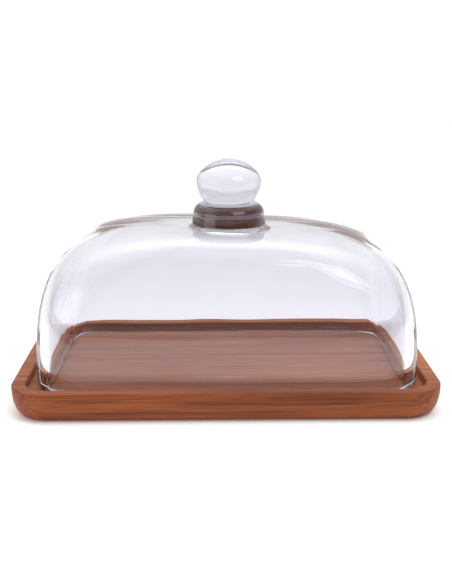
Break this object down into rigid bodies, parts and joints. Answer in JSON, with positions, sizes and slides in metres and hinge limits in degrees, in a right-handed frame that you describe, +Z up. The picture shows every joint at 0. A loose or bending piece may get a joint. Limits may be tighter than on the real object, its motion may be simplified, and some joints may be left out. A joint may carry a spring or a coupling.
{
  "type": "covered serving dish",
  "caption": "Rectangular clear-glass dome with a fused ball knob, standing in the shallow recess of a rounded hardwood tray.",
  "frame": {"origin": "centre of the tray's underside, which rests on the table", "axes": "+X along the tray's length to the right, +Y towards the back, +Z up; the dome lifts off along +Z"},
  "size_m": [0.254, 0.158, 0.1427],
  "materials": {
    "stave_rear": "oiled, satin",
    "stave_middle": "oiled, satin",
    "stave_front": "oiled, satin",
    "clear_glass": "clear, fire-polished"
  },
  "bodies": {
    "tray": {"tray_stave_rear": "stave_rear", "tray_stave_middle": "stave_middle", "tray_stave_front": "stave_front"},
    "cover": {"dome_shell": "clear_glass", "knob_collar": "clear_glass", "knob_ball": "clear_glass"}
  },
  "joints": [
    {"name": "dome_lift", "type": "slide", "parent": "tray", "child": "cover", "axis": [0, 0, 1], "range_m": [0, 0.12]}
  ]
}
